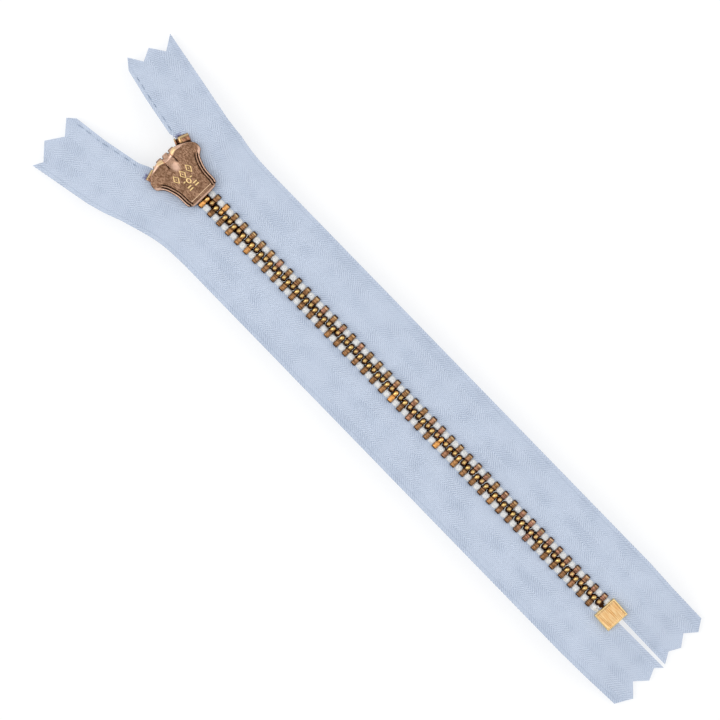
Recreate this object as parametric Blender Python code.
"""Metal jeans zipper, 15 cm from stop to stop, shown closed and lying with its back up.

Frame: +X across the chain, +Y along the chain towards the slider, +Z out of the zipper's back.
The floor is z = 0, under the pull tab, and the origin is below the middle of the whole length.
"""

from math import cos, pi, radians, sin, tan

import bmesh
import bpy
from mathutils import Matrix, Vector

MM = 0.001
GAP = 0.3 * MM  # left between neighbouring pieces
EDGE_GAP = GAP / 2
SIDES = {"left": -1, "right": 1}

# Chain
PITCH = 2.966 * MM  # from one tooth to the next on one side
TOOTH_THICKNESS = 1.2 * MM
TOOTH_HALF_HEIGHT = 1.3 * MM
FIRST_TOOTH_Y = {"right": -71.80 * MM, "left": -71.80 * MM + PITCH / 2}
TEETH_PER_RUN = 8
LAST_SHORT_RUN_TOOTH = 12  # the first run between the two bends ends with this tooth
MOST_TEETH = 60  # more than a side holds: the run limits choose which of them are made
BEAD_X = 1.55 * MM  # centre of the cord that the teeth clamp
BEAD_RADIUS = 0.75 * MM
NOSE_REACH = 2.17 * MM  # from the cord's centre to the tip of a tooth's head
LEG_REACH = 1.23 * MM  # from the cord's centre to the outer end of a tooth's legs
NOSE_HALF_HEIGHT = 0.7 * MM
NOSE_BACK = 1.35 * MM  # from here inwards a tooth's head is chamfered
LEG_HALF_HEIGHT = 0.8 * MM
LEG_SHOULDER = 0.75 * MM  # from here outwards its legs are chamfered

# Slider travel, and the bends of a side (stringer) around the slider
SLIDER_TRAVEL = 43.5 * PITCH
UPPER_THROAT_Y = 60.92 * MM
MOUTH_STEP = 8.90 * MM  # along the cord, from the bend in the throat to the bend in the mouth
THROAT_ANGLE = radians(16)
SPLAY_ANGLE = radians(10.5)
LOWER_THROAT_Y = UPPER_THROAT_Y - SLIDER_TRAVEL
LOWER_MOUTH_Y = LOWER_THROAT_Y + MOUTH_STEP
UPPER_MOUTH_X = BEAD_X + MOUTH_STEP * sin(THROAT_ANGLE)
UPPER_MOUTH_Y = UPPER_THROAT_Y + MOUTH_STEP * cos(THROAT_ANGLE)

# Heights
TAPE_PLANE_Z = 4.6 * MM
TAPE_HALF_THICKNESS = 0.3 * MM
SLOT_HALF_HEIGHT = 0.5 * MM  # of every slot that the tape passes through
CHANNEL_HALF_HEIGHT = 1.55 * MM
SLIDER_HALF_HEIGHT = 2.5 * MM

# Tape
TAPE_INNER_X = 3.0 * MM
TAPE_OUTER_X = 14.55 * MM
TAPE_GAP_X = 0.45 * MM  # half of the gap between the tapes below the bottom stop
TAPE_BOTTOM_Y = -93.4 * MM
PINK_DEPTH = 2.2 * MM  # of the zigzag cut
PINK_POINTS = 3
BULGE_START_Y = 48.0 * MM  # the outer edge leaves its straight line here
BULGE_OUTER_X = 15.0 * MM
THROAT_OUTER_X = 15.4 * MM
MOUTH_OUTER_X = 17.6 * MM
SEWING_TAPE_END_Y = 56.5 * MM  # the tape above this runs under the slider's flanges
TOP_TAPE_OUTER = (18.85 * MM, 74.9 * MM)
TOP_TAPE_CUT = [  # outer edge to inner edge
    (21.7 * MM, 90.3 * MM),
    (19.2 * MM, 88.8 * MM),
    (16.1 * MM, 91.8 * MM),
    (12.8 * MM, 90.1 * MM),
    (9.9 * MM, 93.4 * MM),
    (7.9 * MM, 91.0 * MM),
]
TOP_TAPE_INNER = [(4.9 * MM, 73.9 * MM), (4.5 * MM, 73.0 * MM)]
TOP_TAPE_START_X = 3.95 * MM

# Stops
BOTTOM_STOP_Y = (-78.4 * MM, -73.2 * MM)
BOTTOM_STOP_HALF_WIDTH = 3.0 * MM
BOTTOM_STOP_HALF_HEIGHT = 1.5 * MM
BOTTOM_STOP_WEB = 0.2 * MM
BOTTOM_STOP_BEVEL = 0.5 * MM
TOP_STOP_WIDTH = 3.85 * MM
TOP_STOP_LENGTH = {"left": 1.4 * MM, "right": 2.4 * MM}
TOP_STOP_HEIGHT = 2.4 * MM
# Outwards and upwards from the bend in the mouth; each stop is just above its side's last tooth
TOP_STOP_CENTRE = {"left": (0.95 * MM, 0.87 * MM), "right": (1.0 * MM, 1.62 * MM)}
TOP_STOP_WALL = 0.4 * MM
TOP_STOP_BEVEL = 0.3 * MM
PAST_BEND = 0.001 * MM  # puts a length at a bend into the stretch above it
CUT_OVERRUN = 1 * MM  # a cutter stands out of what it cuts by this

# Slider
MOUTH_Y = 70.6 * MM
BACK_TAIL_Y = 57.85 * MM
FRONT_TAIL_Y = 57.0 * MM
FLANGE_END_Y = 68.9 * MM
WEDGE_TIP_Y = 64.9 * MM
WEDGE_HALF_WIDTH = 1.75 * MM
WEDGE_TIP = (0.22 * MM, 0.4 * MM)  # half width, and distance from the very tip
SLIDER_BEVEL = 0.35 * MM
SLIDER_HALF_OUTLINE = [  # tail to mouth: waist, concave side, shoulder and hump
    (3.05 * MM, FRONT_TAIL_Y),
    (3.15 * MM, BACK_TAIL_Y),
    (3.95 * MM, 58.5 * MM),
    (4.45 * MM, 59.2 * MM),
    (4.45 * MM, 61.6 * MM),
    (4.75 * MM, 63.2 * MM),
    (5.3 * MM, 64.7 * MM),
    (6.1 * MM, 65.9 * MM),
    (7.06 * MM, 66.8 * MM),
    (7.11 * MM, 68.0 * MM),
    (6.6 * MM, 68.9 * MM),
    (5.7 * MM, 69.7 * MM),
    (4.3 * MM, 70.4 * MM),
    (3.1 * MM, 70.8 * MM),
    (1.6 * MM, MOUTH_Y),
    (0.0, 70.5 * MM),
]
THROAT_HALF_WIDTH = BEAD_X + LEG_REACH + GAP
CHANNEL_TURN_Y = 60.7 * MM  # above this the channel's sides lean out with the teeth
CHANNEL_FLARE = (5 * MM, 58.0 * MM)  # half width and y where the tail's flare ends
CHANNEL_NECK_Y = 58.9 * MM
CHANNEL_MOUTH_X = 9 * MM

# Pull tab, its pivot and its spring
PIVOT_Y = 71.1 * MM
PIVOT_Z = -3.65 * MM  # from the middle of the tape
PIVOT_RADIUS = 0.45 * MM
PIVOT_CLEARANCE = 0.1 * MM
PIN_OVERHANG = 0.1 * MM
BORE_HALF_LENGTH = 4 * MM
KNUCKLE_RADIUS = 0.95 * MM
KNUCKLE_HALF_WIDTH = 0.8 * MM
LUG_X = (1.15 * MM, 2.65 * MM)
LUG_ROOT = (2.0 * MM, -2.2 * MM)  # behind the pivot, and height
LUG_FRONT = (0.8 * MM, -2.75 * MM)
LUG_HEEL_Z = -2.6 * MM
TAB_TOP_Z = -3.1 * MM
TAB_LENGTH = 25.0 * MM
TAB_SHOULDER_Y = 2.4 * MM  # from the pivot down to the tongue's shoulders
TAB_SHOULDER_HALF_WIDTH = 3.4 * MM
TAB_NECK_HALF_WIDTH = 2.9 * MM
TAB_NECK_Y = 4.5 * MM  # from the shoulders down to the neck
TAB_END_HALF_WIDTH = 4.0 * MM
TAB_WINDOW = (3.4 * MM, 6.0 * MM)
TAB_WINDOW_OFFSET = 1.2 * MM  # from the end's centre to the window's centre
TAB_BEVEL = 0.3 * MM
CAM_X = (2.2 * MM, 3.0 * MM)
CAM_Y = (-4.0 * MM, -3.2 * MM)  # from the pivot
CAM_ROOT = 0.5 * MM  # how far a cam starts inside the tongue
CAM_SLOT_Z = -1.2 * MM
CAM_SWEEP = 1.0 * MM  # room below a cam for its swing
SPRING_SIZE = (1.5 * MM, 4.4 * MM, 0.25 * MM)
SPRING_Y = 69.0 * MM
SPRING_Z = -2.32 * MM
SPRING_SEAT_Z = (-3 * MM, -1.9 * MM)


def clear_scene():
    for obj in list(bpy.data.objects):
        bpy.data.objects.remove(obj, do_unlink=True)


def material(name, colour, roughness, metallic):
    mat = bpy.data.materials.new(name)
    mat.use_nodes = True
    shader = mat.node_tree.nodes["Principled BSDF"]
    shader.inputs["Base Color"].default_value = (*colour, 1)
    shader.inputs["Roughness"].default_value = roughness
    shader.inputs["Metallic"].default_value = metallic
    mat.diffuse_color = (*colour, 1)
    return mat


def empty(name, location, parent=None, angle=0.0):
    """A joint's axis: world location, and the angle about +Z that its pieces stand at."""
    obj = bpy.data.objects.new(name, None)
    bpy.context.collection.objects.link(obj)
    obj.empty_display_size = 3 * MM
    obj.location = location
    obj.rotation_euler.z = angle
    bpy.context.view_layer.update()
    attach(obj, parent)
    return obj


def attach(obj, parent):
    """Parents obj without moving it."""
    if parent is not None:
        obj.parent = parent
        obj.matrix_parent_inverse = parent.matrix_world.inverted()
        bpy.context.view_layer.update()


def add_object(name, mesh, mat=None, parent=None):
    obj = bpy.data.objects.new(name, mesh)
    bpy.context.collection.objects.link(obj)
    if mat is not None:
        mesh.materials.append(mat)
    bpy.context.view_layer.update()
    attach(obj, parent)
    return obj


def helper(obj):
    """Marks a cutter or an added shape, which isn't a piece itself."""
    obj.hide_render = True
    obj.display_type = "WIRE"
    return obj


def add_prism(bm, outline, direction):
    """A closed solid from a flat outline of 3D points, pushed along direction."""
    face = bm.faces.new([bm.verts.new(point) for point in outline])
    pushed = bmesh.ops.extrude_face_region(bm, geom=[face])
    moved = [item for item in pushed["geom"] if isinstance(item, bmesh.types.BMVert)]
    bmesh.ops.translate(bm, verts=moved, vec=direction)


def finish_mesh(name, bm):
    bmesh.ops.recalc_face_normals(bm, faces=bm.faces)
    mesh = bpy.data.meshes.new(name)
    bm.to_mesh(mesh)
    bm.free()
    return mesh


def plate_mesh(name, outline, z_low, z_high):
    """A plate from an (x, y) outline, between two heights measured from the middle of the tape."""
    bm = bmesh.new()
    bottom = [(x, y, TAPE_PLANE_Z + z_low) for x, y in outline]
    add_prism(bm, bottom, (0, 0, z_high - z_low))
    return finish_mesh(name, bm)


def side_plate_mesh(name, profile, x_low, x_high):
    """A plate from a (y, z) profile, z measured from the middle of the tape."""
    bm = bmesh.new()
    start = [(x_low, y, TAPE_PLANE_Z + z) for y, z in profile]
    add_prism(bm, start, (x_high - x_low, 0, 0))
    return finish_mesh(name, bm)


def box_mesh(name, low, high):
    outline = [(low[0], low[1]), (high[0], low[1]), (high[0], high[1]), (low[0], high[1])]
    return plate_mesh(name, outline, low[2], high[2])


def boolean(obj, other, operation):
    modifier = obj.modifiers.new(operation.title(), "BOOLEAN")
    modifier.operation = operation
    modifier.solver = "EXACT"
    modifier.object = helper(other)


def bevel(obj, width, segments=1, angle=40):
    modifier = obj.modifiers.new("Bevel", "BEVEL")
    modifier.width = width
    modifier.segments = segments
    modifier.limit_method = "ANGLE"
    modifier.angle_limit = radians(angle)


def arc(centre, radius, start, end, steps):
    """Points on an arc, from the start angle to the end angle in degrees."""
    angles = [radians(start + (end - start) * step / steps) for step in range(steps + 1)]
    return [(centre[0] + radius * cos(a), centre[1] + radius * sin(a)) for a in angles]


def both_sides(half):
    """Closes a right-hand half outline, listed from tail to mouth, with its mirror image."""
    return half + [(-x, y) for x, y in reversed(half) if abs(x) > 1e-9]


def mirrored(outline, side):
    return [(side * x, y) for x, y in outline]


def cord_frame(side, s):
    """Matrix at the length s along a side's cord: x outwards, y along the cord, z up."""
    if s <= UPPER_THROAT_Y:
        x, y, angle = BEAD_X, s, 0.0
    elif s <= UPPER_THROAT_Y + MOUTH_STEP:
        past = s - UPPER_THROAT_Y
        angle = THROAT_ANGLE
        x = BEAD_X + past * sin(angle)
        y = UPPER_THROAT_Y + past * cos(angle)
    else:
        past = s - UPPER_THROAT_Y - MOUTH_STEP
        angle = SPLAY_ANGLE
        x = UPPER_MOUTH_X + past * sin(angle)
        y = UPPER_MOUTH_Y + past * cos(angle)
    frame = Matrix.Translation((x, y, TAPE_PLANE_Z)) @ Matrix.Rotation(-angle, 4, "Z")
    return Matrix.Diagonal((side, 1, 1, 1)) @ frame


def tooth_profile():
    """Outline of a tooth seen along the chain: x outwards from the cord's centre, z up."""
    upper = [
        (-NOSE_REACH, NOSE_HALF_HEIGHT),
        (-NOSE_BACK, TOOTH_HALF_HEIGHT),
        (LEG_SHOULDER, TOOTH_HALF_HEIGHT),
        (LEG_REACH, LEG_HALF_HEIGHT),
    ]
    return upper + [(x, -z) for x, z in reversed(upper)]


def cord_profile():
    """The cord's hexagonal section, with flat top and bottom."""
    return arc((0, 0), BEAD_RADIUS, 0, 300, 5)


def tooth_run(name, side, s_low, s_high, teeth, mat, parent):
    """One stretch of cord with the teeth that it carries, joined into one solid."""
    bm = bmesh.new()
    start = cord_frame(side, s_low + EDGE_GAP)
    if s_low >= UPPER_THROAT_Y:
        start = cord_frame(side, s_low + GAP)
    end = cord_frame(side, s_high - EDGE_GAP)
    section = [start @ Vector((x, 0, z)) for x, z in cord_profile()]
    add_prism(bm, section, end.translation - start.translation)
    run = add_object(name, finish_mesh(name, bm), mat, parent)

    bm = bmesh.new()
    for s in teeth:
        frame = cord_frame(side, s)
        back = frame @ Matrix.Translation((0, -TOOTH_THICKNESS / 2, 0))
        step = frame.to_3x3() @ Vector((0, TOOTH_THICKNESS, 0))
        add_prism(bm, [back @ Vector((x, 0, z)) for x, z in tooth_profile()], step)
    tools = add_object(name + "_tooth_shapes", finish_mesh(name + "_tooth_shapes", bm))
    boolean(run, tools, "UNION")
    return run


def run_limits(side_name):
    """(body number, lowest s, highest s) for each run, bottom to top."""
    first = FIRST_TOOTH_Y[side_name]
    between = [
        first + (LAST_SHORT_RUN_TOOTH + TEETH_PER_RUN * k + 0.5) * PITCH for k in range(4)
    ]
    strip_start = BOTTOM_STOP_Y[1] + GAP
    limits = [(0, strip_start, LOWER_THROAT_Y), (1, LOWER_THROAT_Y, LOWER_MOUTH_Y)]
    ends = [LOWER_MOUTH_Y, *between, UPPER_THROAT_Y]
    limits += [(2, low, high) for low, high in zip(ends, ends[1:])]
    limits.append((3, UPPER_THROAT_Y, UPPER_THROAT_Y + MOUTH_STEP))
    return limits


def add_tooth_runs(side_name, side, bodies, mat):
    for number, (body, low, high) in enumerate(run_limits(side_name), start=1):
        first = FIRST_TOOTH_Y[side_name]
        places = [first + k * PITCH for k in range(MOST_TEETH)]
        teeth = [s for s in places if low < s < high]
        name = f"{side_name}_teeth_{number}"
        tooth_run(name, side, low, high, teeth, mat, bodies[body])


def pinked_edge(start, end, points, depth):
    """Zigzag from start to end with that many points standing out by depth."""
    steps = 2 * points
    line = []
    for step in range(1, steps):
        t = step / steps
        x = start[0] + (end[0] - start[0]) * t
        y = start[1] + (end[1] - start[1]) * t
        line.append((x, y + (depth if step % 2 else 0)))
    return line


def tape_outlines():
    """Right-hand outline of each stretch of tape, with the number of the body that it rides on."""
    inner_bottom = (TAPE_GAP_X, TAPE_BOTTOM_Y + PINK_DEPTH)
    outer_bottom = (TAPE_OUTER_X, TAPE_BOTTOM_Y + PINK_DEPTH)
    stop_top = BOTTOM_STOP_Y[1] + GAP
    root = [outer_bottom, (TAPE_OUTER_X, LOWER_THROAT_Y - EDGE_GAP)]
    root += [(TAPE_INNER_X, LOWER_THROAT_Y - EDGE_GAP), (TAPE_INNER_X, stop_top)]
    root += [(TAPE_GAP_X, stop_top), inner_bottom]
    root += pinked_edge(inner_bottom, outer_bottom, PINK_POINTS, -PINK_DEPTH)

    def strip(low, high, outer_low=TAPE_OUTER_X, outer_high=TAPE_OUTER_X):
        return [
            (TAPE_INNER_X, low + EDGE_GAP),
            (outer_low, low + EDGE_GAP),
            (outer_high, high - EDGE_GAP),
            (TAPE_INNER_X, high - EDGE_GAP),
        ]

    sewing = strip(LOWER_MOUTH_Y, SEWING_TAPE_END_Y, outer_high=BULGE_OUTER_X)
    sewing.insert(2, (TAPE_OUTER_X, BULGE_START_Y))
    throat = strip(SEWING_TAPE_END_Y, UPPER_THROAT_Y, BULGE_OUTER_X, THROAT_OUTER_X)

    inner = TAPE_INNER_X - BEAD_X
    slope = tan(THROAT_ANGLE)

    def inner_x(y):
        return BEAD_X + inner / cos(THROAT_ANGLE) + (y - UPPER_THROAT_Y) * slope

    low, high = UPPER_THROAT_Y + EDGE_GAP, UPPER_MOUTH_Y - EDGE_GAP
    mouth = [(inner_x(low), low), (THROAT_OUTER_X, low), (MOUTH_OUTER_X, high), (inner_x(high), high)]

    low = UPPER_MOUTH_Y + EDGE_GAP
    top = [(TOP_TAPE_START_X, low), (MOUTH_OUTER_X, low), TOP_TAPE_OUTER]
    top += TOP_TAPE_CUT + TOP_TAPE_INNER
    return [
        (0, root),
        (1, strip(LOWER_THROAT_Y, LOWER_MOUTH_Y)),
        (2, sewing),
        (2, throat),
        (3, mouth),
        (4, top),
    ]


def add_tapes(side_name, side, bodies, mat):
    for number, (body, outline) in enumerate(tape_outlines(), start=1):
        name = f"{side_name}_tape_{number}"
        shape = mirrored(outline, side)
        mesh = plate_mesh(name, shape, -TAPE_HALF_THICKNESS, TAPE_HALF_THICKNESS)
        add_object(name, mesh, mat, bodies[body])


def add_top_stop(side_name, side, body, mat):
    """A small clamp around the tape's edge, just above the last tooth."""
    height = TOP_STOP_HEIGHT
    frame = cord_frame(side, UPPER_THROAT_Y + MOUTH_STEP + PAST_BEND)
    x, y = TOP_STOP_CENTRE[side_name]
    half_width, half_length = TOP_STOP_WIDTH / 2, TOP_STOP_LENGTH[side_name] / 2
    corners = [
        (x - half_width, y - half_length),
        (x + half_width, y - half_length),
        (x + half_width, y + half_length),
        (x - half_width, y + half_length),
    ]
    name = f"{side_name}_top_stop"
    bm = bmesh.new()
    outline = [frame @ Vector((cx, cy, -height / 2)) for cx, cy in corners]
    add_prism(bm, outline, (0, 0, height))
    stop = add_object(name, finish_mesh(name, bm), mat, body)
    bevel(stop, TOP_STOP_BEVEL, 2)
    bm = bmesh.new()
    longer = 1 + CUT_OVERRUN / half_length
    slot = [(cx + TOP_STOP_WALL, (cy - y) * longer + y, -SLOT_HALF_HEIGHT) for cx, cy in corners]
    add_prism(bm, [frame @ Vector(point) for point in slot], (0, 0, 2 * SLOT_HALF_HEIGHT))
    boolean(stop, add_object(name + "_slot", finish_mesh(name + "_slot", bm)), "DIFFERENCE")


def add_bottom_stop(mat):
    """An H-shaped clamp: two plates with a web between the two tapes."""
    half, height = BOTTOM_STOP_HALF_WIDTH, BOTTOM_STOP_HALF_HEIGHT
    low, high = BOTTOM_STOP_Y
    mesh = box_mesh("bottom_stop", (-half, low, -height), (half, high, height))
    stop = add_object("bottom_stop", mesh, mat)
    bevel(stop, BOTTOM_STOP_BEVEL, 2)
    for side_name, side in SIDES.items():
        x_low, x_high = sorted((side * BOTTOM_STOP_WEB, side * 2 * half))
        name = f"bottom_stop_slot_{side_name}"
        corner_low = (x_low, low - CUT_OVERRUN, -SLOT_HALF_HEIGHT)
        corner_high = (x_high, high + CUT_OVERRUN, SLOT_HALF_HEIGHT)
        boolean(stop, add_object(name, box_mesh(name, corner_low, corner_high)), "DIFFERENCE")


def channel_outline(reach):
    """Y-shaped path of the chain: one channel at the tail, two around the wedge at the mouth.
    With reach, the path has no side walls but runs out to that half width."""
    above = MOUTH_Y + 2 * CUT_OVERRUN
    below = FRONT_TAIL_Y - 2 * CUT_OVERRUN
    if reach:
        half = [(reach, below), (reach, above)]
    else:
        lean = (FLANGE_END_Y - CHANNEL_TURN_Y) * tan(THROAT_ANGLE)
        half = [(CHANNEL_FLARE[0], below), CHANNEL_FLARE, (THROAT_HALF_WIDTH, CHANNEL_NECK_Y)]
        half += [(THROAT_HALF_WIDTH, CHANNEL_TURN_Y), (THROAT_HALF_WIDTH + lean, FLANGE_END_Y)]
        half += [(CHANNEL_MOUTH_X, FLANGE_END_Y), (CHANNEL_MOUTH_X, above)]
    half += [(WEDGE_HALF_WIDTH, above), (WEDGE_HALF_WIDTH, MOUTH_Y)]
    half += [(WEDGE_TIP[0], WEDGE_TIP_Y + WEDGE_TIP[1]), (0, WEDGE_TIP_Y)]
    return both_sides(half)


def add_slider(parent, mat):
    """One casting: back plate, front plate, wedge and flanges, with lugs for the pivot pin."""
    outline = both_sides(SLIDER_HALF_OUTLINE)
    mesh = plate_mesh("slider_body", outline, -SLIDER_HALF_HEIGHT, SLIDER_HALF_HEIGHT)
    slider = add_object("slider_body", mesh, mat, parent)
    bevel(slider, SLIDER_BEVEL, 2, angle=60)

    chain = plate_mesh("chain_path", channel_outline(0), -CHANNEL_HALF_HEIGHT, CHANNEL_HALF_HEIGHT)
    boolean(slider, add_object("chain_path", chain), "DIFFERENCE")
    tape_reach = CHANNEL_MOUTH_X + CUT_OVERRUN
    tape = plate_mesh("tape_path", channel_outline(tape_reach), -SLOT_HALF_HEIGHT, SLOT_HALF_HEIGHT)
    boolean(slider, add_object("tape_path", tape), "DIFFERENCE")
    lip_low = (-CHANNEL_MOUTH_X, FRONT_TAIL_Y - CUT_OVERRUN, 0)
    lip_high = (CHANNEL_MOUTH_X, BACK_TAIL_Y, SLIDER_HALF_HEIGHT + CUT_OVERRUN)
    boolean(slider, add_object("back_lip_cut", box_mesh("back_lip_cut", lip_low, lip_high)), "DIFFERENCE")

    for side_name, side in SIDES.items():
        x_low, x_high = sorted((side * LUG_X[0], side * LUG_X[1]))
        root_y, root_z = PIVOT_Y - LUG_ROOT[0], LUG_ROOT[1]
        profile = [(root_y, root_z), (root_y, LUG_HEEL_Z)]
        profile += arc((PIVOT_Y, PIVOT_Z), KNUCKLE_RADIUS, 225, 360, 6)
        profile += [(PIVOT_Y + KNUCKLE_RADIUS, LUG_FRONT[1]), (PIVOT_Y - LUG_FRONT[0], root_z)]
        lug = add_object(f"lug_{side_name}", side_plate_mesh("lug", profile, x_low, x_high))
        boolean(slider, lug, "UNION")
        cam_x = sorted((side * (CAM_X[0] - GAP), side * (CAM_X[1] + GAP)))
        slot_low = (cam_x[0], PIVOT_Y + CAM_Y[0] - CAM_SWEEP, -SLIDER_HALF_HEIGHT - CUT_OVERRUN)
        slot_high = (cam_x[1], PIVOT_Y + CAM_Y[1] + GAP, CAM_SLOT_Z)
        name = f"cam_slot_{side_name}"
        boolean(slider, add_object(name, box_mesh(name, slot_low, slot_high)), "DIFFERENCE")

    bore = arc((PIVOT_Y, PIVOT_Z), PIVOT_RADIUS + PIVOT_CLEARANCE, 0, 337.5, 15)
    cutter = add_object(
        "lug_bore", side_plate_mesh("lug_bore", bore, -BORE_HALF_LENGTH, BORE_HALF_LENGTH)
    )
    boolean(slider, cutter, "DIFFERENCE")
    width, length, _ = SPRING_SIZE
    seat_low = (-width / 2 - GAP, SPRING_Y - length / 2 - GAP, SPRING_SEAT_Z[0])
    seat_high = (width / 2 + GAP, MOUTH_Y + 2 * CUT_OVERRUN, SPRING_SEAT_Z[1])
    boolean(slider, add_object("spring_seat", box_mesh("spring_seat", seat_low, seat_high)), "DIFFERENCE")


def add_pivot_pin(parent, mat):
    circle = arc((PIVOT_Y, PIVOT_Z), PIVOT_RADIUS, 0, 337.5, 15)
    half = LUG_X[1] + PIN_OVERHANG
    add_object("pivot_pin", side_plate_mesh("pivot_pin", circle, -half, half), mat, parent)


def add_lock_spring(parent, mat):
    """A leaf in the front plate's recess, which holds the pull tab's knuckle down flat."""
    width, length, thickness = SPRING_SIZE
    low = (-width / 2, SPRING_Y - length / 2, SPRING_Z - thickness / 2)
    high = (width / 2, SPRING_Y + length / 2, SPRING_Z + thickness / 2)
    add_object("lock_spring", box_mesh("lock_spring", low, high), mat, parent)


def tab_outline():
    """Tongue of the pull tab: knuckle end first, then wider to a round end."""
    shoulder_y = PIVOT_Y - TAB_SHOULDER_Y
    end_y = PIVOT_Y - TAB_LENGTH
    half = [(KNUCKLE_HALF_WIDTH, PIVOT_Y), (KNUCKLE_HALF_WIDTH, shoulder_y + PIN_OVERHANG)]
    half += [(TAB_SHOULDER_HALF_WIDTH, shoulder_y), (TAB_NECK_HALF_WIDTH, shoulder_y - TAB_NECK_Y)]
    half += arc((0, end_y + TAB_END_HALF_WIDTH), TAB_END_HALF_WIDTH, 0, -90, 7)
    return both_sides(half)


def add_pull_tab(parent, mat):
    """Flat tongue with a window, a knuckle around the pin, and two cams that lock the chain."""
    floor = PIVOT_Z - KNUCKLE_RADIUS
    tab = add_object("pull_tab", plate_mesh("pull_tab", tab_outline(), floor, TAB_TOP_Z), mat, parent)
    bevel(tab, TAB_BEVEL, 1, angle=60)
    round_end = arc((PIVOT_Y, PIVOT_Z), KNUCKLE_RADIUS, 0, 345, 23)
    knuckle = side_plate_mesh("knuckle", round_end, -KNUCKLE_HALF_WIDTH, KNUCKLE_HALF_WIDTH)
    boolean(tab, add_object("knuckle", knuckle), "UNION")
    bore = arc((PIVOT_Y, PIVOT_Z), PIVOT_RADIUS + PIVOT_CLEARANCE, 0, 337.5, 15)
    cutter = add_object(
        "tab_bore", side_plate_mesh("tab_bore", bore, -BORE_HALF_LENGTH, BORE_HALF_LENGTH)
    )
    boolean(tab, cutter, "DIFFERENCE")
    for side_name, side in SIDES.items():
        cam_x = sorted((side * CAM_X[0], side * CAM_X[1]))
        low = (cam_x[0], PIVOT_Y + CAM_Y[0], TAB_TOP_Z - CAM_ROOT)
        high = (cam_x[1], PIVOT_Y + CAM_Y[1], -CHANNEL_HALF_HEIGHT)
        name = f"cam_{side_name}"
        boolean(tab, add_object(name, box_mesh(name, low, high)), "UNION")
    width, length = TAB_WINDOW
    centre_y = PIVOT_Y - TAB_LENGTH + TAB_END_HALF_WIDTH + TAB_WINDOW_OFFSET
    window = arc((0, centre_y + (length - width) / 2), width / 2, 0, 180, 8)
    window += arc((0, centre_y - (length - width) / 2), width / 2, 180, 360, 8)
    cutter = plate_mesh("tab_window", window, floor - CUT_OVERRUN, TAB_TOP_Z + CUT_OVERRUN)
    boolean(tab, add_object("tab_window", cutter), "DIFFERENCE")


def stringer_bodies(side_name, side):
    """Empties on the four bends of one side; each stretch hangs on the one below it."""
    z = TAPE_PLANE_Z
    places = [
        ((side * BEAD_X, LOWER_THROAT_Y, z), 0.0),
        ((side * BEAD_X, LOWER_MOUTH_Y, z), 0.0),
        ((side * BEAD_X, UPPER_THROAT_Y, z), -side * THROAT_ANGLE),
        ((side * UPPER_MOUTH_X, UPPER_MOUTH_Y, z), -side * SPLAY_ANGLE),
    ]
    bodies = [None]
    for number, (place, angle) in enumerate(places, start=1):
        bodies.append(empty(f"{side_name}_bend_{number}", place, bodies[-1], angle))
    return bodies


def main():
    clear_scene()
    cloth = material("tape", (0.53, 0.60, 0.72), 0.9, 0.0)
    teeth = material("teeth", (0.62, 0.38, 0.13), 0.35, 1.0)
    stop = material("stop", (0.86, 0.66, 0.36), 0.3, 1.0)
    bronze = material("slider", (0.30, 0.19, 0.11), 0.4, 1.0)
    steel = material("steel", (0.55, 0.52, 0.50), 0.35, 1.0)

    for side_name, side in SIDES.items():
        bodies = stringer_bodies(side_name, side)
        add_tapes(side_name, side, bodies, cloth)
        add_tooth_runs(side_name, side, bodies, teeth)
        add_top_stop(side_name, side, bodies[4], teeth)
    add_bottom_stop(stop)

    slide_axis = empty("slider_axis", (0, MOUTH_Y, TAPE_PLANE_Z))
    pivot_axis = empty("pivot_axis", (0, PIVOT_Y, TAPE_PLANE_Z + PIVOT_Z), slide_axis)
    add_slider(slide_axis, bronze)
    add_pivot_pin(slide_axis, steel)
    add_lock_spring(slide_axis, steel)
    add_pull_tab(pivot_axis, bronze)


main()
